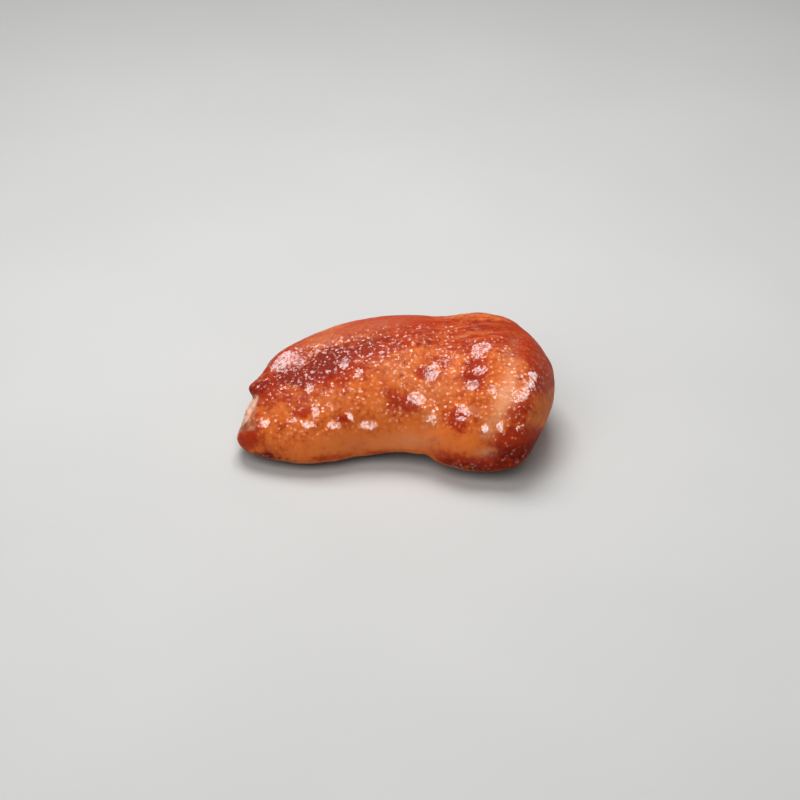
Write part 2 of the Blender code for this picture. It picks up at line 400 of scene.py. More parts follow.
# Where pale fat shows through.
FAT_PATCHES = (
    Patch(50.5, 17.0, 8.5, 4.5, 70.0, 0.75),
    Patch(46.0, 6.0, 8.0, 3.0, 75.0, 0.4),
    Patch(54.0, 29.0, 7.0, 3.0, 75.0, 0.3),
    Patch(55.5, 42.0, 3.0, 2.5, 60.0, 0.2),
    Patch(41.5, 1.0, 4.0, 2.0, 75.0, 0.7),
    Patch(16.5, 5.0, 3.0, 3.0, 0.0, 0.4),
    Patch(8.5, -5.0, 11.5, 4.5, 0.0, 0.25),
    Patch(-12.0, -6.5, 19.5, 3.5, 2.0, 0.12),
    Patch(42.0, -10.0, 2.5, 4.5, 90.0, 0.5),
    Patch(18.5, 18.5, 12.5, 5.0, 20.0, 0.2),
    Patch(0.0, 29.0, 9.0, 7.0, 0.0, 0.2),
    Patch(36.0, 9.5, 4.0, 2.0, -30.0, 0.4),
    Patch(-37.0, 43.0, 12.0, 5.0, 22.0, 0.2),
    Patch(-12.0, 50.0, 22.0, 4.5, 12.0, 0.2),
    Patch(-34.0, 15.0, 18.0, 5.0, 0.0, 0.12),
    Patch(51.5, 36.0, 4.0, 3.0, 60.0, 0.2),
    Patch(72.5, 19.0, 3.0, 8.0, 0.0, 0.18),
)

# Where the glaze covers the skin between the follicles too, so that it glints most.
DEWY_PATCHES = (
    Patch(-40.0, 31.0, 22.0, 9.0, 22.0, 1.0),
    Patch(-8.0, 36.0, 16.0, 8.0, 12.0, 0.8),
    Patch(25.0, 33.0, 14.0, 9.0, 0.0, 0.6),
    Patch(-35.0, 12.0, 18.0, 7.0, 0.0, 0.5),
    Patch(62.0, 18.0, 9.0, 9.0, 0.0, 0.6),
    Patch(10.0, 12.0, 18.0, 7.0, 0.0, 0.4),
)

# Where pale streaks run along the skin. At the torn end's top, where the glaze glares, the streaks
# are a painted highlight.
STREAK_PATCHES = (
    Patch(34.0, 46.0, 24.0, 7.0, 4.0, 1.0),
    Patch(65.0, 36.0, 11.0, 6.0, -55.0, 0.6),
    Patch(-53.5, 33.0, 10.0, 5.0, 38.0, 0.6),
    Patch(-10.0, 46.0, 20.0, 4.0, 12.0, 0.5),
)

# Where the skin is torn away and pale meat shows.
TORN_PATCHES = (
    Patch(-70.0, 8.0, 9.5, 2.5, 56.0, 1.0),
    Patch(-75.5, -3.0, 3.0, 1.5, 70.0, 0.8),
)

# Where the skin is smooth, with few raised follicles.
SMOOTH_PATCHES = (
    Patch(-26.5, -8.0, 34.0, 5.5, 2.0, 1.0),
    Patch(10.0, -6.0, 16.5, 6.5, 0.0, 1.0),
    Patch(-22.0, 49.0, 29.5, 4.5, 15.0, 1.0),
    Patch(5.0, 53.0, 19.5, 2.5, 0.0, 1.0),
    Patch(46.5, 50.5, 24.5, 4.5, 0.0, 0.9),
    Patch(64.0, 39.0, 12.5, 9.0, -50.0, 0.85),
    Patch(67.0, 8.5, 8.0, 10.0, -60.0, 0.75),
    Patch(50.0, 17.0, 14.5, 4.0, 70.0, 0.8),
    Patch(27.0, 32.0, 6.0, 6.0, 0.0, 0.75),
    Patch(22.0, -5.0, 14.5, 6.0, 0.0, 0.9),
    Patch(-42.5, 8.5, 4.0, 4.0, 0.0, 0.9),
    Patch(-69.5, -4.0, 7.0, 7.0, 0.0, 0.8),
    Patch(-61.0, -10.0, 11.5, 4.0, 0.0, 1.0),
    Patch(-53.5, 32.5, 8.0, 5.0, 35.0, 0.7),
    Patch(34.5, -7.5, 10.0, 6.0, 0.0, 0.7),
    Patch(-11.0, 11.0, 6.0, 4.0, 0.0, 0.5),
    Patch(66.5, 14.5, 5.0, 4.0, 0.0, 0.5),
    Patch(73.5, 18.0, 4.5, 14.0, 0.0, 0.8),
)

# The seeded noises repeat after this many cells, and count them from this far before 0.
LATTICE_SIDE = 64
LATTICE_START = 1000.0


def step(start, end, value):
    """A smooth step from 0 at start to 1 at end: three times its square less twice its cube."""
    part = np.clip((value - start) / (end - start), 0.0, 1.0)
    return part * part * (3.0 - 2.0 * part)


def bell(distance, half_width):
    """A bump of height 1: e to the power of minus the square of distance over half_width."""
    return np.exp(-(distance / half_width) ** 2)


def along(x, field):
    """One field of the sections at x: a cubic between neighbours with averaged slopes."""
    places = np.array([section.x for section in SECTIONS])
    values = np.array([getattr(section, field) for section in SECTIONS])
    slopes = np.gradient(values, places)
    first = np.clip(np.searchsorted(places, x) - 1, 0, len(places) - 2)
    gap = places[first + 1] - places[first]
    part = np.clip((x - places[first]) / gap, 0.0, 1.0)
    start = (1.0 + 2.0 * part) * (1.0 - part) ** 2 * values[first]
    start_slope = part * (1.0 - part) ** 2 * gap * slopes[first]
    end = part * part * (3.0 - 2.0 * part) * values[first + 1]
    end_slope = part * part * (part - 1.0) * gap * slopes[first + 1]
    return start + start_slope + end + end_slope


def closing(way):
    """Place along the length and section scale: a superellipse walked in even steps.

    The scale is the power root of one less the place to that power, with a blunt power at
    the torn end and a round one at the other.
    """
    fine = -np.cos(np.linspace(0.0, np.pi, CLOSING_PLACES))
    power = np.where(fine < 0.0, TORN_END_POWER, ROUND_END_POWER)
    scale = np.maximum(1.0 - np.abs(fine) ** power, 0.0) ** (1.0 / power)
    strides = np.hypot(np.diff(fine) * LENGTH / 2.0, np.diff(scale) * WIDTH * MEAN_REACH)
    walked = np.concatenate([[0.0], np.cumsum(strides)])
    walked /= walked[-1]
    return np.interp(way, walked, fine), np.interp(way, walked, scale)


def value_noise(points, size, seed):
    """Soft noise from -1 to 1 with features of size mm.

    Seeded random values sit on a cubic lattice, and each point blends the eight corners of
    its cell with a smooth step along each axis.
    """
    sides = (LATTICE_SIDE, LATTICE_SIDE, LATTICE_SIDE)
    lattice = np.random.default_rng(seed).uniform(-1.0, 1.0, sides)
    places = points / size + LATTICE_START
    low = np.floor(places).astype(int)
    part = places - low
    part = part * part * (3.0 - 2.0 * part)
    total = np.zeros(points.shape[:-1])
    for corner in np.ndindex(2, 2, 2):
        cell = (low + np.array(corner)) % LATTICE_SIDE
        weights = np.where(np.array(corner) == 1, part, 1.0 - part)
        total += lattice[cell[..., 0], cell[..., 1], cell[..., 2]] * weights.prod(axis=-1)
    return total


def rough_noise(points, size, seed):
    """Three octaves of value noise, each half the size and half the height of the last."""
    total = np.zeros(points.shape[:-1])
    shares = [1.0, 0.5, 0.25]
    for octave, share in enumerate(shares):
        total += value_noise(points, size * share, seed + octave) * share
    return total / sum(shares)


def studs(points, spacing, radius, seed):
    """Rounded bumps, one per cell of a cubic lattice, each at a seeded place in its cell.

    The height is a bell of the distance to the nearest bump's centre.
    """
    sides = (LATTICE_SIDE, LATTICE_SIDE, LATTICE_SIDE, 3)
    jitter = np.random.default_rng(seed).uniform(0.1, 0.9, sides)
    places = points / spacing + LATTICE_START
    low = np.floor(places).astype(int)
    nearest = np.full(points.shape[:-1], np.inf)
    for corner in np.ndindex(3, 3, 3):
        cell = low + np.array(corner) - 1
        wrapped = cell % LATTICE_SIDE
        centre = cell + jitter[wrapped[..., 0], wrapped[..., 1], wrapped[..., 2]]
        nearest = np.minimum(nearest, np.linalg.norm(places - centre, axis=-1))
    return bell(nearest * spacing, radius)


def elliptical(item, x, rise):
    """Distance from a turned ellipse's centre, 1 on the ellipse."""
    turn = np.radians(item.turn)
    across, up = x - item.x, rise - item.rise
    lengthwise = (across * np.cos(turn) + up * np.sin(turn)) / item.half_length
    breadthwise = (up * np.cos(turn) - across * np.sin(turn)) / item.half_breadth
    return np.hypot(lengthwise, breadthwise)


def patches(items, x, rise):
    """Sum of elliptical bells, held to the range 0 to 1."""
    total = np.zeros_like(x)
    for item in items:
        total += item.amount * bell(elliptical(item, x, rise), 1.0)
    return np.clip(total, 0.0, 1.0)


def facet_height(x, rise):
    """Sum of slopes about the facets' centres, fading with the fourth power of distance."""
    height = np.zeros_like(x)
    for item in FACETS:
        fade = np.exp(-elliptical(item, x, rise) ** 4)
        height += (item.slope_x * (x - item.x) + item.slope_rise * (rise - item.rise)) * fade
    return height


def gleam(x, rise):
    """Share of each place that gleams: flat-topped ellipses, held to 0 to 1."""
    total = np.zeros_like(x)
    for item in GLEAM_PATCHES:
        total += item.amount * np.exp(-elliptical(item, x, rise) ** 4)
    return np.clip(total, 0.0, 1.0)


def unit(vector):
    """A vector, or an array of them, brought to length 1."""
    return vector / np.maximum(np.linalg.norm(vector, axis=-1, keepdims=True), 1e-9)


def mirror_lean(place, normal):
    """What to add to the normal at a place so that it mirrors the lamp to the camera.

    The direction half-way between the two is stretched until it ends on the plane at the
    normal's tip. The lean is the way from that tip to there, held to LEAN_LIMIT.
    """
    halfway = unit(unit(EYE - place) + unit(KEY_LAMP - place))
    lean = halfway / (halfway * normal).sum() - normal
    return lean * min(1.0, LEAN_LIMIT / np.linalg.norm(lean))


def gleam_lean(points, normal, x, rise, shown):
    """How far the glaze's normal leans, as vectors that lie in the surface.

    Each gleam has one lean, worked out for the place and normal at its middle, and the
    gleams are averaged with flat-topped weights.
    """
    total, weight = np.zeros_like(points), np.zeros_like(x)
    for item in GLEAM_PATCHES:
        away = elliptical(item, x, rise)
        centre = (bell(away, 0.5) * shown)[..., None]
        middle = (points * centre).sum(axis=(0, 1)) / centre.sum()
        lean = mirror_lean(middle * METRES_PER_MM, unit((normal * centre).sum(axis=(0, 1))))
        near = np.exp(-(away / LEAN_REACH) ** 4) * shown
        total += lean * near[..., None]
        weight += near
    total /= np.maximum(weight, 1.0)[..., None]
    return total - normal * (total * normal).sum(axis=-1, keepdims=True)


def facing_share(depth):
    """1 on the face that the photograph shows, 0 behind it, with a smooth step between."""
    return step(*FACING_DEPTHS, depth)


def relief(x, rise, depth):
    """Height of the swellings, each a bell, and the facets less the folds, each a trough."""
    height = np.zeros_like(x)
    for item in MUSCLES:
        across = (x - item.x) / item.half_width
        height += item.height * bell(np.hypot(across, (rise - item.rise) / item.half_rise), 1.0)
    height += facet_height(x, rise)
    for fold in FOLDS:
        away = x - (fold.x + fold.lean * rise + fold.curve * rise ** 2)
        starts = step(fold.first_rise - FOLD_FADE, fold.first_rise + FOLD_FADE, rise)
        ends = step(fold.last_rise + FOLD_FADE, fold.last_rise - FOLD_FADE, rise)
        height -= fold.depth * bell(away, fold.half_width) * starts * ends
    return height * facing_share(depth)


def tear(x, rise, depth):
    """Shift along x of the torn end.

    The skin's edge has a step back with smooth ends, and bells out and in for the flap and
    the notch. The low tip is a bell that goes all the way through.
    """
    near_end = step(*TEAR_SPAN, x)
    skin_edge = step(*TEAR_DEPTHS, depth)
    pushes = STEP_BACK * step(*STEP_BACK_STARTS, rise) * step(*STEP_BACK_ENDS, rise)
    for jag in (FLAP, NOTCH):
        pushes += jag.push * bell(rise - jag.rise, jag.half_rise)
    tip = TIP.push * bell(rise - TIP.rise, TIP.half_rise)
    return near_end * (skin_edge * pushes + tip)


def press_flat(z):
    """Heights below the base become 0, through a parabola as high as the fillet."""
    turned = (z + BASE_FILLET) ** 2 / (4.0 * BASE_FILLET)
    return np.where(z < -BASE_FILLET, 0.0, np.where(z < BASE_FILLET, turned, z))


def face_places(x, y, z):
    """Rise up the slanting skin face, and depth behind it."""
    rise = y * np.sin(FACE_ANGLE) + z * np.cos(FACE_ANGLE)
    depth = y * np.cos(FACE_ANGLE) - z * np.sin(FACE_ANGLE)
    return rise, depth


def surface(way, around):
    """Points of the breast in millimetres.

    way runs from the torn end to the round end. around is the angle in a cross-section
    made of four superelliptic quarters that meet at the ridge, the back edge, the base
    and the front edge. Each cross-section is shrunk towards its core by the scale of the
    closing, its skin face is raised by the relief, and its lowest part is pressed flat.
    """
    place, scale = closing(way)
    x = (TORN_END_X + ROUND_END_X) / 2.0 + (ROUND_END_X - TORN_END_X) / 2.0 * place

    cosine, sine = np.cos(around), np.sin(around)
    top, back = sine >= 0.0, cosine >= 0.0
    back_power = np.where(top, BACK_TOP_POWER, BACK_UNDER_POWER)
    front_top = FRONT_TOP_POWER + (HEAD_TOP_POWER - FRONT_TOP_POWER) * step(*HEAD_SPAN, x)
    front_power = np.where(top, front_top, FRONT_UNDER_POWER)
    power = np.where(back, back_power, front_power)
    reach = (np.abs(cosine) ** power + np.abs(sine) ** power) ** (-1.0 / power)

    ridge_y = along(x, "ridge_y")
    edge_y = np.where(back, along(x, "back_y"), along(x, "front_y"))
    edge_z = np.where(back, along(x, "back_z"), along(x, "front_z"))
    half_z = np.where(top, along(x, "ridge_z") - edge_z, edge_z - along(x, "under_z"))
    core_y, core_z = along(x, "core_y"), along(x, "core_z")
    ray_y = ridge_y + np.abs(edge_y - ridge_y) * reach * cosine - core_y
    ray_z = edge_z + half_z * reach * sine - core_z
    y = core_y + ray_y * scale
    z = core_z + ray_z * scale

    rise, depth = face_places(x, y, z)
    slant = TORN_SLANT_ACROSS * (y - TORN_MIDDLE_Y) + TORN_SLANT_UP * (z - TORN_MIDDLE_Z)
    x = x + step(*TORN_SLANT_SPAN, x) * slant
    x = x - ROUND_FRONT_DRAWN_IN * step(*DRAWN_IN_SPAN, x) * step(*DRAWN_IN_RISES, rise)

    raised = relief(x, rise, depth) * scale / np.hypot(ray_y, ray_z)
    x = x + tear(x, rise, depth)
    y = y + ray_y * raised
    z = press_flat(z + ray_z * raised)
    under = step(-0.2, -0.8, sine)
    cup = np.exp(-(x / CUP_HALF_LENGTH) ** 4 - (y / CUP_HALF_WIDTH) ** 4)
    z = z + CUP_DEPTH * under * cup
    return np.stack([x, y, z], axis=-1)


def outward(points):
    """Unit normals of a grid of points that runs along, then around.

    Each is the cross product of the differences between its neighbours both ways.
    """
    along_way = np.gradient(points, axis=0)
    around_way = np.roll(points, -1, axis=1) - np.roll(points, 1, axis=1)
    return unit(np.cross(around_way, along_way))


def bare_share(points, normal, wander):
    """Where bare meat shows, 0 to 1: in the torn end and underneath, with ragged edges.

    On the skin face the meat of the torn end shows in one strip alone.
    """
    x, y, z = points[..., 0], points[..., 1], points[..., 2]
    rise, depth = face_places(x, y, z)
    cut_end = step(-0.35, -0.75, normal[..., 0] + 0.25 * wander) * step(*CUT_SPAN, x)
    ragged_rise = rise + 2.0 * wander
    strip = step(*STRIP_STARTS, ragged_rise) * step(*STRIP_ENDS, ragged_rise)
    cut_end *= 1.0 - step(*CUT_DEPTHS, depth) * (1.0 - strip)
    low = step(*MEAT_HEIGHTS, z + 1.5 * wander)
    downward = step(-0.6, -0.9, normal[..., 2])
    return np.clip(np.maximum(low, downward) + cut_end, 0.0, 1.0)


def goose_share(x, rise, upward, smooth, skin, char_and_shade):
    """Where goose bumps stand, 0 to 1: on rough skin that faces up, and on the charred edge that it
    rests on, which also carries painted shade.

    They are weaker near the skin's lower edge, which lies lower at the round end.
    """
    above_edge = rise + 12.0 * step(35.0, 50.0, x)
    goose = np.clip(1.0 - smooth, 0.0, 1.0) * skin * (0.3 + 0.7 * step(-12.0, 1.0, above_edge))
    goose *= step(-0.1, 0.45, upward)
    return np.maximum(goose, 0.9 * char_and_shade * skin)


def waves(points, kind):
    """Rough noise of one kind, as high as the kind says."""
    return kind.height * rough_noise(points, kind.size, kind.seed)


def fine_height(points, goose, gloss, bare):
    """Height in millimetres of what is too fine for the solid.

    It sums slow waves over all, rough and studded goose bumps, the crumpled glaze of the
    gleams, and the long fibres of the meat, which lies a little lower than the skin.
    """
    height = BROAD_WAVES.height * value_noise(points, BROAD_WAVES.size, BROAD_WAVES.seed)
    height += SHORT_WAVES.height * value_noise(points, SHORT_WAVES.size, SHORT_WAVES.seed)
    height += goose * waves(points, GOOSE_WAVES)
    bumps = studs(points, GOOSE_STUDS.size, STUD_RADIUS, GOOSE_STUDS.seed)
    height += goose * GOOSE_STUDS.height * bumps
    height += gloss * waves(points, GLAZE_WAVES)
    height -= bare * MEAT_SINK
    return height + bare * waves(points * FIBRE_STRETCH, FIBRE_WAVES)


def breast_grid():
    """Points of the dressed breast, ring by ring, and the named amounts that colour it.

    The points are the loft's, moved along their normals by the fine height. On the face
    that the photograph shows the amounts come from patches, and elsewhere from noise.
    """
    way = np.linspace(0.0, 1.0, RINGS + 2)[1:-1]
    turn = np.linspace(0.0, 2.0 * np.pi, COLUMNS, endpoint=False)
    turn = turn + SKIN_CROWDING * np.cos(turn)
    way, turn = np.meshgrid(way, turn, indexing="ij")
    points = surface(way, turn)
    normal = outward(points)
    x, y, z = points[..., 0], points[..., 1], points[..., 2]
    rise, depth = face_places(x, y, z)
    facing = facing_share(depth)
    hidden = 1.0 - facing

    wander = rough_noise(points, WANDER_SIZE, WANDER_SEED)
    drift = rough_noise(points, DRIFT_SIZE, DRIFT_SEED)
    bare = bare_share(points, normal, wander)
    skin = 1.0 - bare
    smooth = patches(SMOOTH_PATCHES, x, rise) * facing + (0.45 + 0.4 * drift) * hidden
    char_and_shade = patches(CHAR_AND_SHADE_PATCHES, x, rise) * facing
    goose = goose_share(x, rise, normal[..., 2], smooth, skin, char_and_shade)
    gloss = gleam(x, rise) * facing * skin
    torn = step(0.3, 0.65, patches(TORN_PATCHES, x, rise) + 0.25 * wander)

    height = fine_height(points, goose, gloss, bare) * (1.0 - step(*BASE_HEIGHTS, z))
    points = points + normal * height[..., None]
    hidden_fat = 0.35 * step(0.2, 0.6, wander)
    amounts = {
        "skin": skin,
        "goose": goose,
        "gloss": gloss,
        "dark": patches(DARK_PATCHES, x, rise) * facing + step(0.15, 0.7, -drift) * hidden,
        "red": patches(RED_PATCHES, x, rise) * facing + (0.4 + 0.7 * drift) * hidden,
        "fat": patches(FAT_PATCHES, x, rise) * facing + hidden_fat * hidden,
        "torn": torn * facing,
        "streaks": patches(STREAK_PATCHES, x, rise) * facing,
        "dewy": patches(DEWY_PATCHES, x, rise) * facing,
        "char_and_shade": char_and_shade,
        "lean": gleam_lean(points, outward(points), x, rise, facing * skin),
    }
    return points, amounts


def add_amount(mesh, name, values):
    """A named number or vector for each point, with the mean of the end ring at each pole."""
    size = values[0, 0].size
    kind, field = ("FLOAT_VECTOR", "vector") if size == 3 else ("FLOAT", "value")
    ends = np.stack([values[0].mean(axis=0), values[-1].mean(axis=0)])
    flat = np.concatenate([values.reshape(-1, size), ends.reshape(-1, size)])
    attribute = mesh.attributes.new(name, kind, "POINT")
    attribute.data.foreach_set(field, flat.ravel().astype(np.float32))


def closed_mesh(name, points, amounts):
    """A mesh of quads between rings, closed by a fan at each pole, fitted to the solid's box."""
    rings, columns = points.shape[:2]
    poles = np.stack([points[0].mean(axis=0), points[-1].mean(axis=0)])
    places = np.concatenate([points.reshape(-1, 3), poles])
    low, high = places.min(axis=0), places.max(axis=0)
    box_low, box_high = np.array(cad_low), np.array(cad_high)
    places = box_low + (places - low) / (high - low) * (box_high - box_low)

    index = np.arange(rings * columns).reshape(rings, columns)
    beside = np.roll(index, -1, axis=1)
    quads = np.stack([index[:-1], beside[:-1], beside[1:], index[1:]], axis=-1).reshape(-1, 4)
    first = np.full(columns, rings * columns)
    last = first + 1
    start_fan = np.stack([first, beside[0], index[0]], axis=-1)
    end_fan = np.stack([last, index[-1], beside[-1]], axis=-1)
    corners = np.concatenate([quads.ravel(), start_fan.ravel(), end_fan.ravel()])
    sizes = np.concatenate([np.full(len(quads), 4), np.full(2 * columns, 3)])
    starts = np.concatenate([[0], np.cumsum(sizes)[:-1]])

    mesh = bpy.data.meshes.new(name)
    mesh.vertices.add(len(places))
    mesh.vertices.foreach_set("co", places.ravel().astype(np.float32))
    mesh.loops.add(len(corners))
    mesh.loops.foreach_set("vertex_index", corners.astype(np.int32))
    mesh.polygons.add(len(sizes))
    mesh.polygons.foreach_set("loop_start", starts.astype(np.int32))
    mesh.update(calc_edges=True)
    mesh.validate()
    mesh.shade_smooth()
    for key, values in amounts.items():
        add_amount(mesh, key, values)
    return mesh


class Graph:
    """Short calls that add a material's nodes and join them."""

    def __init__(self, name):
        self.material = bpy.data.materials.new(name)
        self.material.use_nodes = True
        self.tree = self.material.node_tree
        self.shader = self.tree.nodes["Principled BSDF"]
        self.place = self.add("ShaderNodeTexCoord").outputs["Object"]

    def give(self, socket, value):
        """Link another node's output to a socket, or set the socket's own value."""
        if isinstance(value, bpy.types.NodeSocket):
            self.tree.links.new(value, socket)
        else:
            socket.default_value = value

    def add(self, kind, inputs=None, **settings):
        """A new node, with its settings and the inputs given by name or number."""
        node = self.tree.nodes.new(kind)
        for key, value in settings.items():
            setattr(node, key, value)
        for key, value in (inputs or {}).items():
            self.give(node.inputs[key], value)
        return node

    def amount(self, name):
        """One of the mesh's named amounts."""
        return self.add("ShaderNodeAttribute", attribute_name=name).outputs["Fac"]

    def noise(self, scale, detail=2.0, roughness=0.5, place=None):
        """Soft noise around a half, with scale features to the metre."""
        inputs = {"Vector": place or self.place, "Scale": scale}
        inputs |= {"Detail": detail, "Roughness": roughness}
        return self.add("ShaderNodeTexNoise", inputs).outputs["Fac"]

    def cells(self, scale, smoothness, place):
        """Distance from the middle of the nearest cell, with scale cells to the metre."""
        inputs = {"Vector": place, "Scale": scale}
        node = self.add("ShaderNodeTexVoronoi", inputs, feature="SMOOTH_F1")
        self.give(node.inputs["Smoothness"], smoothness)
        return node.outputs["Distance"]

    def calc(self, kind, first, second, third=None):
        """One step of arithmetic on two or three values."""
        node = self.add("ShaderNodeMath", {0: first, 1: second}, operation=kind)
        if third is not None:
            self.give(node.inputs[2], third)
        return node.outputs[0]

    def span(self, value, start, end, low=0.0, high=1.0):
        """A smooth step from low at start to high at end."""
        inputs = {"Value": value, "From Min": start, "From Max": end, "To Min": low, "To Max": high}
        node = self.add("ShaderNodeMapRange", inputs, interpolation_type="SMOOTHSTEP")
        return node.outputs["Result"]

    def mix(self, share, first, second):
        """The first colour, with a share of the second in its place."""
        inputs = {"Factor": share, 6: first, 7: second}
        return self.add("ShaderNodeMix", inputs, data_type="RGBA").outputs[2]

    def blend(self, share, first, second):
        """The first number, with a share of the second in its place."""
        inputs = {"Factor": share, 2: first, 3: second}
        return self.add("ShaderNodeMix", inputs, data_type="FLOAT").outputs[0]

    def vector(self, kind, *values):
        """The outputs of one step of arithmetic on vectors."""
        return self.add("ShaderNodeVectorMath", dict(enumerate(values)), operation=kind).outputs

    def tilts(self, scale):
        """Heights in millimetres of small flat cells that each lean their own way.

        A cell's height is the dot product of the way from its middle and its random colour
        less a half.
        """
        cell = self.add("ShaderNodeTexVoronoi", {"Vector": self.place, "Scale": scale})
        away = self.vector("SUBTRACT", self.place, cell.outputs["Position"])[0]
        lean = self.vector("SUBTRACT", cell.outputs["Color"], (0.5, 0.5, 0.5))[0]
        height = self.vector("DOT_PRODUCT", away, lean)["Value"]
        return self.calc("MULTIPLY", height, 2.0 / METRES_PER_MM)

    def bumped(self, height):
        """The normal of the surface with a height in millimetres on it."""
        inputs = {"Height": height, "Strength": 1.0, "Distance": METRES_PER_MM}
        return self.add("ShaderNodeBump", inputs).outputs["Normal"]

    def wavy(self, scale, reach):
        """Places moved along each axis by noise, by up to half of reach either way."""
        noise = self.add("ShaderNodeTexNoise", {"Vector": self.place, "Scale": scale})
        reaches = (reach, reach, reach)
        return self.vector("MULTIPLY_ADD", noise.outputs["Color"], reaches, self.place)[0]

    def leaning(self, normal, name):
        """The normal moved by a named vector and brought back to length 1."""
        lean = self.add("ShaderNodeAttribute", attribute_name=name).outputs["Vector"]
        return self.vector("NORMALIZE", self.vector("ADD", normal, lean)[0])[0]

    def stretched(self, scale):
        """Places scaled along each axis."""
        inputs = {"Vector": self.place, "Scale": scale}
        return self.add("ShaderNodeMapping", inputs).outputs["Vector"]


HONEY = (0.700, 0.165, 0.030, 1.0)
BRICK = (0.390, 0.031, 0.006, 1.0)
MAHOGANY = (0.180, 0.011, 0.005, 1.0)
CREAM = (0.740, 0.420, 0.240, 1.0)
# Pale pink for the painted highlights on the goose bumps' tops.
PAINTED_GLINT_PINK = (0.920, 0.420, 0.280, 1.0)
# Near-black for the charred edge that it rests on and for its painted shade.
CHARRED_AND_SHADED = (0.080, 0.007, 0.006, 1.0)
MEAT = (0.330, 0.135, 0.085, 1.0)
PINK_MEAT = (0.760, 0.370, 0.260, 1.0)
PALE_MEAT = (0.900, 0.560, 0.420, 1.0)
MEAT_DARK = (0.200, 0.070, 0.040, 1.0)

# How many features of each pattern there are to a metre.
BLOTCHES = 170.0
SPOTS = 420.0
GRAINS = 1500.0
WRINKLES = 800.0
FOLLICLES = 430.0
FOLLICLE_WAVES = 300.0
GLINTS = 700.0
BANDS = 240.0
FIBRES = 500.0
BUNDLES = 270.0
BUNDLE_WAVES = 180.0

# How far the waves move the follicles and the bundles, in metres.
FOLLICLE_REACH = 0.0012
BUNDLE_REACH = 0.003

# Heights of the relief that is finer than the mesh, in millimetres.
FOLLICLE_HEIGHT = 0.28
GRAIN_HEIGHT = 0.04
WRINKLE_HEIGHT = 0.15
BEAD_HEIGHT = 0.35
FIBRE_HEIGHT = 0.9
BUNDLE_DEPTH = 1.2

# The skin's roughness under the glaze, and how much less it is on wet goose bumps.
DRY_ROUGHNESS = 0.65
WET_SMOOTHING = 0.35


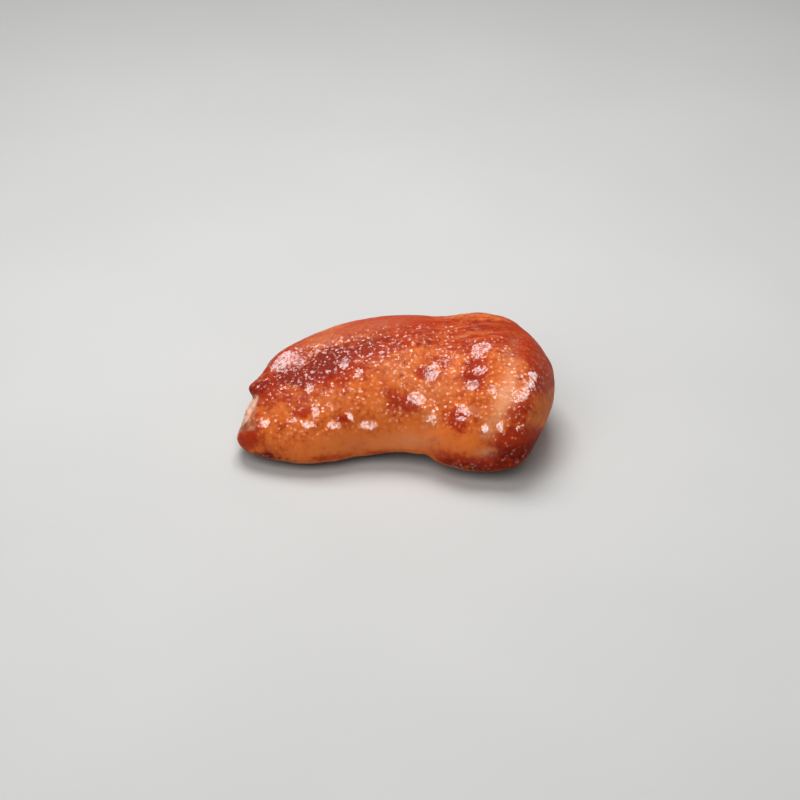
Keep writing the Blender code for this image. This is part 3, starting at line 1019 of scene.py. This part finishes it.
class RoastedSkin(Graph):
    """Glazed orange to mahogany skin, and dull fibrous meat where the skin is missing."""

    def __init__(self):
        """The amounts and patterns that more than one look shares."""
        super().__init__("roasted_skin")
        self.skin = self.amount("skin")
        self.goose = self.amount("goose")
        self.gloss = self.amount("gloss")
        self.dark = self.amount("dark")
        self.patchy = self.span(self.goose, 0.0, 0.7, 0.6, 1.0)
        self.blotches = self.noise(BLOTCHES, 3.0, 0.6)
        self.spots = self.noise(SPOTS, 3.0, 0.6)
        self.grain = self.noise(GRAINS, 2.0, 0.6)
        self.wrinkles = self.noise(WRINKLES, 3.0, 0.6, self.stretched((1.0, 0.55, 0.55)))
        self.fibres = self.noise(FIBRES, 4.0, 0.7, self.stretched((0.22, 1.0, 1.0)))
        self.follicles = self.cells(FOLLICLES, 0.5, self.wavy(FOLLICLE_WAVES, FOLLICLE_REACH))
        self.bundles = self.cells(BUNDLES, 0.25, self.wavy(BUNDLE_WAVES, BUNDLE_REACH))
        self.seams = self.span(self.bundles, 0.35, 0.62)
        self.beads = self.span(self.follicles, 0.0, 0.6, 1.0, 0.0)
        self.beady = self.calc("MULTIPLY", self.goose, self.span(self.gloss, 0.3, 0.7, 1.0, 0.3))
        self.wet = self.calc("MULTIPLY_ADD", self.amount("dewy"), 0.6, self.beads)

    def ragged(self, amount, spots_share, offset):
        """An amount plus noise about zero, which is weaker where the skin is smooth."""
        blotchy = self.calc("MULTIPLY_ADD", self.blotches, 1.5, offset)
        noise = self.calc("MULTIPLY_ADD", self.spots, spots_share, blotchy)
        return self.calc("MULTIPLY_ADD", noise, self.patchy, amount)

    def roasted(self):
        """Honey skin, roasted brick red in parts and mahogany where it is darkest, with painted
        shade in the hollows between the goose bumps and along the lower edge, and painted
        highlights on the bumps' tops.
        """
        redness = self.span(self.ragged(self.amount("red"), 1.3, -1.15), 0.05, 0.95)
        colour = self.mix(redness, HONEY, BRICK)
        fat_spots = self.span(self.spots, 0.3, 0.65, 0.35, 1.0)
        colour = self.mix(self.calc("MULTIPLY", self.amount("fat"), fat_spots), colour, CREAM)
        # The darkest roast, which includes the painted shade along the lower and right edges.
        darkness = self.span(self.ragged(self.dark, 1.2, -1.27), 0.15, 1.05, 0.0, 0.85)
        # On goose skin the mahogany shows at half strength on the bumps' tops and in full in the
        # hollows between them: painted shade.
        hollow_shade = self.span(self.follicles, 0.15, 0.5, 0.5, 1.0)
        smoothness = self.span(self.goose, 0.0, 0.6, 1.0, 0.0)
        between = self.calc("MAXIMUM", hollow_shade, smoothness)
        colour = self.mix(self.calc("MULTIPLY", darkness, between), colour, MAHOGANY)
        # Painted shade: the hollows between the goose bumps turn a darker red-brown.
        pit_shade = self.calc("MULTIPLY", self.goose, self.span(self.follicles, 0.3, 0.65, 0.0, 0.28))
        colour = self.mix(pit_shade, colour, self.mix(0.5, BRICK, MAHOGANY))
        # Charred skin and painted shade along the edge that it rests on, in spots.
        char_and_shade_spots = self.span(self.spots, 0.4, 0.6, 0.2, 0.9)
        colour = self.mix(self.calc("MULTIPLY", self.amount("char_and_shade"), char_and_shade_spots), colour, CHARRED_AND_SHADED)
        # Painted highlight: the goose bumps' tops turn pale pink, less so on the darkest skin.
        painted_glints = self.calc("MULTIPLY", self.goose, self.span(self.follicles, 0.08, 0.32, 0.8, 0.0))
        painted_glints = self.calc("MULTIPLY", painted_glints, self.span(self.grain, 0.4, 0.55, 0.4, 1.0))
        painted_glints = self.calc("MULTIPLY", painted_glints, self.span(darkness, 0.0, 0.8, 1.0, 0.3))
        return self.mix(painted_glints, colour, PAINTED_GLINT_PINK)

    def streaked(self, colour):
        """A colour with honey bands and thin pale lines along the breast."""
        streaks = self.amount("streaks")
        bands = self.noise(BANDS, 3.0, 0.6, self.stretched((0.25, 1.0, 1.0)))
        bands = self.calc("MULTIPLY", streaks, self.span(bands, 0.45, 0.65, 0.0, 0.42))
        colour = self.mix(bands, colour, HONEY)
        lines = self.calc("MULTIPLY", streaks, self.span(self.fibres, 0.5, 0.68, 0.0, 0.25))
        return self.mix(lines, colour, CREAM)

    def meat(self):
        """Brown meat whose fibres run along the breast, in bundles with darker seams."""
        colour = self.mix(self.span(self.fibres, 0.3, 0.7), MEAT_DARK, MEAT)
        return self.mix(self.calc("MULTIPLY", self.seams, 0.5), colour, MEAT_DARK)

    def rimmed(self, colour):
        """A colour with a pale line of fat where the skin ends."""
        inner = self.span(self.skin, 0.15, 0.5)
        outer = self.span(self.skin, 0.85, 0.5)
        rim = self.calc("MULTIPLY", inner, outer)
        fat_spots = self.span(self.spots, 0.35, 0.65, 0.0, 0.6)
        return self.mix(self.calc("MULTIPLY", rim, fat_spots), colour, CREAM)

    def shreds(self):
        """Pale pink meat of the torn end, in the same bundles."""
        colour = self.mix(self.span(self.spots, 0.35, 0.6), PINK_MEAT, PALE_MEAT)
        return self.mix(self.calc("MULTIPLY", self.seams, 0.6), colour, PINK_MEAT)

    def fine_relief(self):
        """Height of the follicles, grain and wrinkles, or of the bare meat's bundled fibres."""
        follicles = self.span(self.follicles, 0.0, 0.6, FOLLICLE_HEIGHT, 0.0)
        skin = self.calc("MULTIPLY", self.goose, follicles)
        skin = self.calc("MULTIPLY_ADD", self.grain, GRAIN_HEIGHT, skin)
        glazed = self.calc("MULTIPLY", self.wrinkles, self.gloss)
        skin = self.calc("MULTIPLY_ADD", glazed, WRINKLE_HEIGHT, skin)
        meat = self.calc("MULTIPLY", self.fibres, FIBRE_HEIGHT)
        meat = self.calc("MULTIPLY_ADD", self.bundles, -BUNDLE_DEPTH, meat)
        return self.blend(self.skin, meat, skin)

    def glaze_relief(self):
        """Height of the glaze: small beads broken into glints, and a wrinkled film."""
        beads = self.calc("MULTIPLY", self.calc("MULTIPLY", self.beads, self.beady), BEAD_HEIGHT)
        ripples = self.span(self.gloss, 0.0, 1.0, 0.05, 0.22)
        height = self.calc("MULTIPLY_ADD", self.wrinkles, ripples, beads)
        broken = self.calc("MULTIPLY", self.goose, self.span(self.gloss, 0.3, 0.65, 0.48, 0.14))
        return self.calc("MULTIPLY_ADD", self.tilts(GLINTS), broken, height)

    def glaze(self):
        """How much of each place the glaze covers: the film, the beads or a faint sheen."""
        edge = self.calc("ADD", self.gloss, self.calc("MULTIPLY_ADD", self.spots, 0.9, -0.45))
        gaps = self.span(self.wrinkles, 0.42, 0.54, 0.2, 0.6)
        film = self.calc("MULTIPLY", self.span(edge, 0.35, 0.62), gaps)
        beads = self.span(self.beady, 0.1, 0.7, 0.0, 0.62)
        beads = self.calc("MULTIPLY", self.span(self.wet, 0.1, 0.8), beads)
        sheen = self.span(self.dark, 0.0, 0.6, 0.04, 0.0)
        most = self.calc("MAXIMUM", self.calc("MAXIMUM", film, beads), sheen)
        return self.calc("MULTIPLY", most, self.skin)


def roasted_material():
    """The roasted skin's nodes joined to its shader."""
    graph = RoastedSkin()
    colour = graph.mix(graph.skin, graph.meat(), graph.streaked(graph.roasted()))
    colour = graph.mix(graph.amount("torn"), graph.rimmed(colour), graph.shreds())
    dewy_goose = graph.calc("MULTIPLY", graph.wet, graph.goose)
    roughness = graph.calc("MULTIPLY_ADD", dewy_goose, -WET_SMOOTHING, DRY_ROUGHNESS)
    shader = graph.shader
    graph.give(shader.inputs["Base Color"], colour)
    graph.give(shader.inputs["Roughness"], roughness)
    graph.give(shader.inputs["Normal"], graph.bumped(graph.fine_relief()))
    glaze_normal = graph.leaning(graph.bumped(graph.glaze_relief()), "lean")
    graph.give(shader.inputs["Coat Normal"], glaze_normal)
    graph.give(shader.inputs["Coat Weight"], graph.glaze())
    shader.inputs["Specular IOR Level"].default_value = 0.08
    shader.inputs["Specular Tint"].default_value = (1.0, 0.55, 0.45, 1.0)
    shader.inputs["Coat Roughness"].default_value = 0.08
    shader.inputs["Coat IOR"].default_value = 2.1
    shader.inputs["Subsurface Weight"].default_value = 0.2
    shader.inputs["Subsurface Radius"].default_value = (1.0, 0.3, 0.12)
    shader.inputs["Subsurface Scale"].default_value = 0.0015
    return graph.material


def dressed_breast():
    """The breast's one piece, which stands in for the solid."""
    points, amounts = breast_grid()
    mesh = closed_mesh("glazed_breast", points * METRES_PER_MM, amounts)
    mesh.materials.append(roasted_material())
    piece = bpy.data.objects.new("glazed_breast", mesh)
    bpy.context.scene.collection.objects.link(piece)
    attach(piece, "root")
    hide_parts("roast_duck_breast")


FLOOR_GREY = (0.55, 0.55, 0.54, 1.0)
FLOOR_PALE = (0.57, 0.57, 0.56, 1.0)
FLOOR_CLOUDS = 6.0
FLOOR_HALF_WIDTH = 3.0


def pale_floor():
    """A wide matt floor at the height of the base."""
    graph = Graph("pale_floor")
    tone = graph.span(graph.noise(FLOOR_CLOUDS, 2.0), 0.3, 0.7)
    graph.give(graph.shader.inputs["Base Color"], graph.mix(tone, FLOOR_GREY, FLOOR_PALE))
    graph.shader.inputs["Roughness"].default_value = 0.8
    half = FLOOR_HALF_WIDTH
    corners = [(-half, -half, 0.0), (half, -half, 0.0), (half, half, 0.0), (-half, half, 0.0)]
    mesh = bpy.data.meshes.new("floor")
    mesh.from_pydata(corners, [], [(0, 1, 2, 3)])
    mesh.materials.append(graph.material)
    floor = bpy.data.objects.new("floor", mesh)
    bpy.context.scene.collection.objects.link(floor)


def softbox(name, heading, elevation, distance, size, power, mirrored):
    """A rectangular area light that faces the breast from a heading and an elevation."""
    light = bpy.data.lights.new(name, "AREA")
    light.shape = "RECTANGLE"
    light.size, light.size_y = size
    light.energy = power
    lamp = bpy.data.objects.new(name, light)
    lamp.location = lamp_place(heading, elevation, distance)
    lamp.rotation_euler = (np.radians(90.0 - elevation), 0.0, np.radians(heading))
    lamp.visible_glossy = mirrored
    bpy.context.scene.collection.objects.link(lamp)


def studio():
    """Soft white surroundings and three softboxes.

    The glaze mirrors the one above and behind. It doesn't mirror the wide one above in
    front or the low one behind.
    """
    world = bpy.data.worlds.new("studio")
    world.use_nodes = True
    backdrop = world.node_tree.nodes["Background"]
    backdrop.inputs["Color"].default_value = (1.0, 0.97, 0.94, 1.0)
    backdrop.inputs["Strength"].default_value = 0.12
    bpy.context.scene.world = world
    key = (KEY_HEADING, KEY_ELEVATION, KEY_DISTANCE)
    softbox("back_softbox", *key, size=(0.5, 0.5), power=6.0, mirrored=True)
    front = (-20.0, 50.0, 1.5)
    softbox("front_softbox", *front, size=(1.6, 1.2), power=14.5, mirrored=False)
    low_back = (0.0, 163.0, 1.6)
    softbox("low_back_softbox", *low_back, size=(1.8, 0.4), power=3.0, mirrored=False)


def camera():
    """A long lens whose axis meets the breast just right of its middle."""
    data = bpy.data.cameras.new("camera")
    data.lens = CAMERA_LENS
    data.sensor_width = CAMERA_SENSOR
    data.clip_start, data.clip_end = NEAREST_SEEN, FARTHEST_SEEN
    item = bpy.data.objects.new("camera", data)
    item.location = EYE
    item.rotation_mode = "QUATERNION"
    item.rotation_quaternion = (Vector(AIM) - item.location).to_track_quat("-Z", "Y")
    bpy.context.scene.collection.objects.link(item)
    bpy.context.scene.camera = item


camera()
dressed_breast()
pale_floor()
studio()
bpy.context.scene.view_settings.view_transform = "Standard"
bpy.context.scene.view_settings.look = "None"
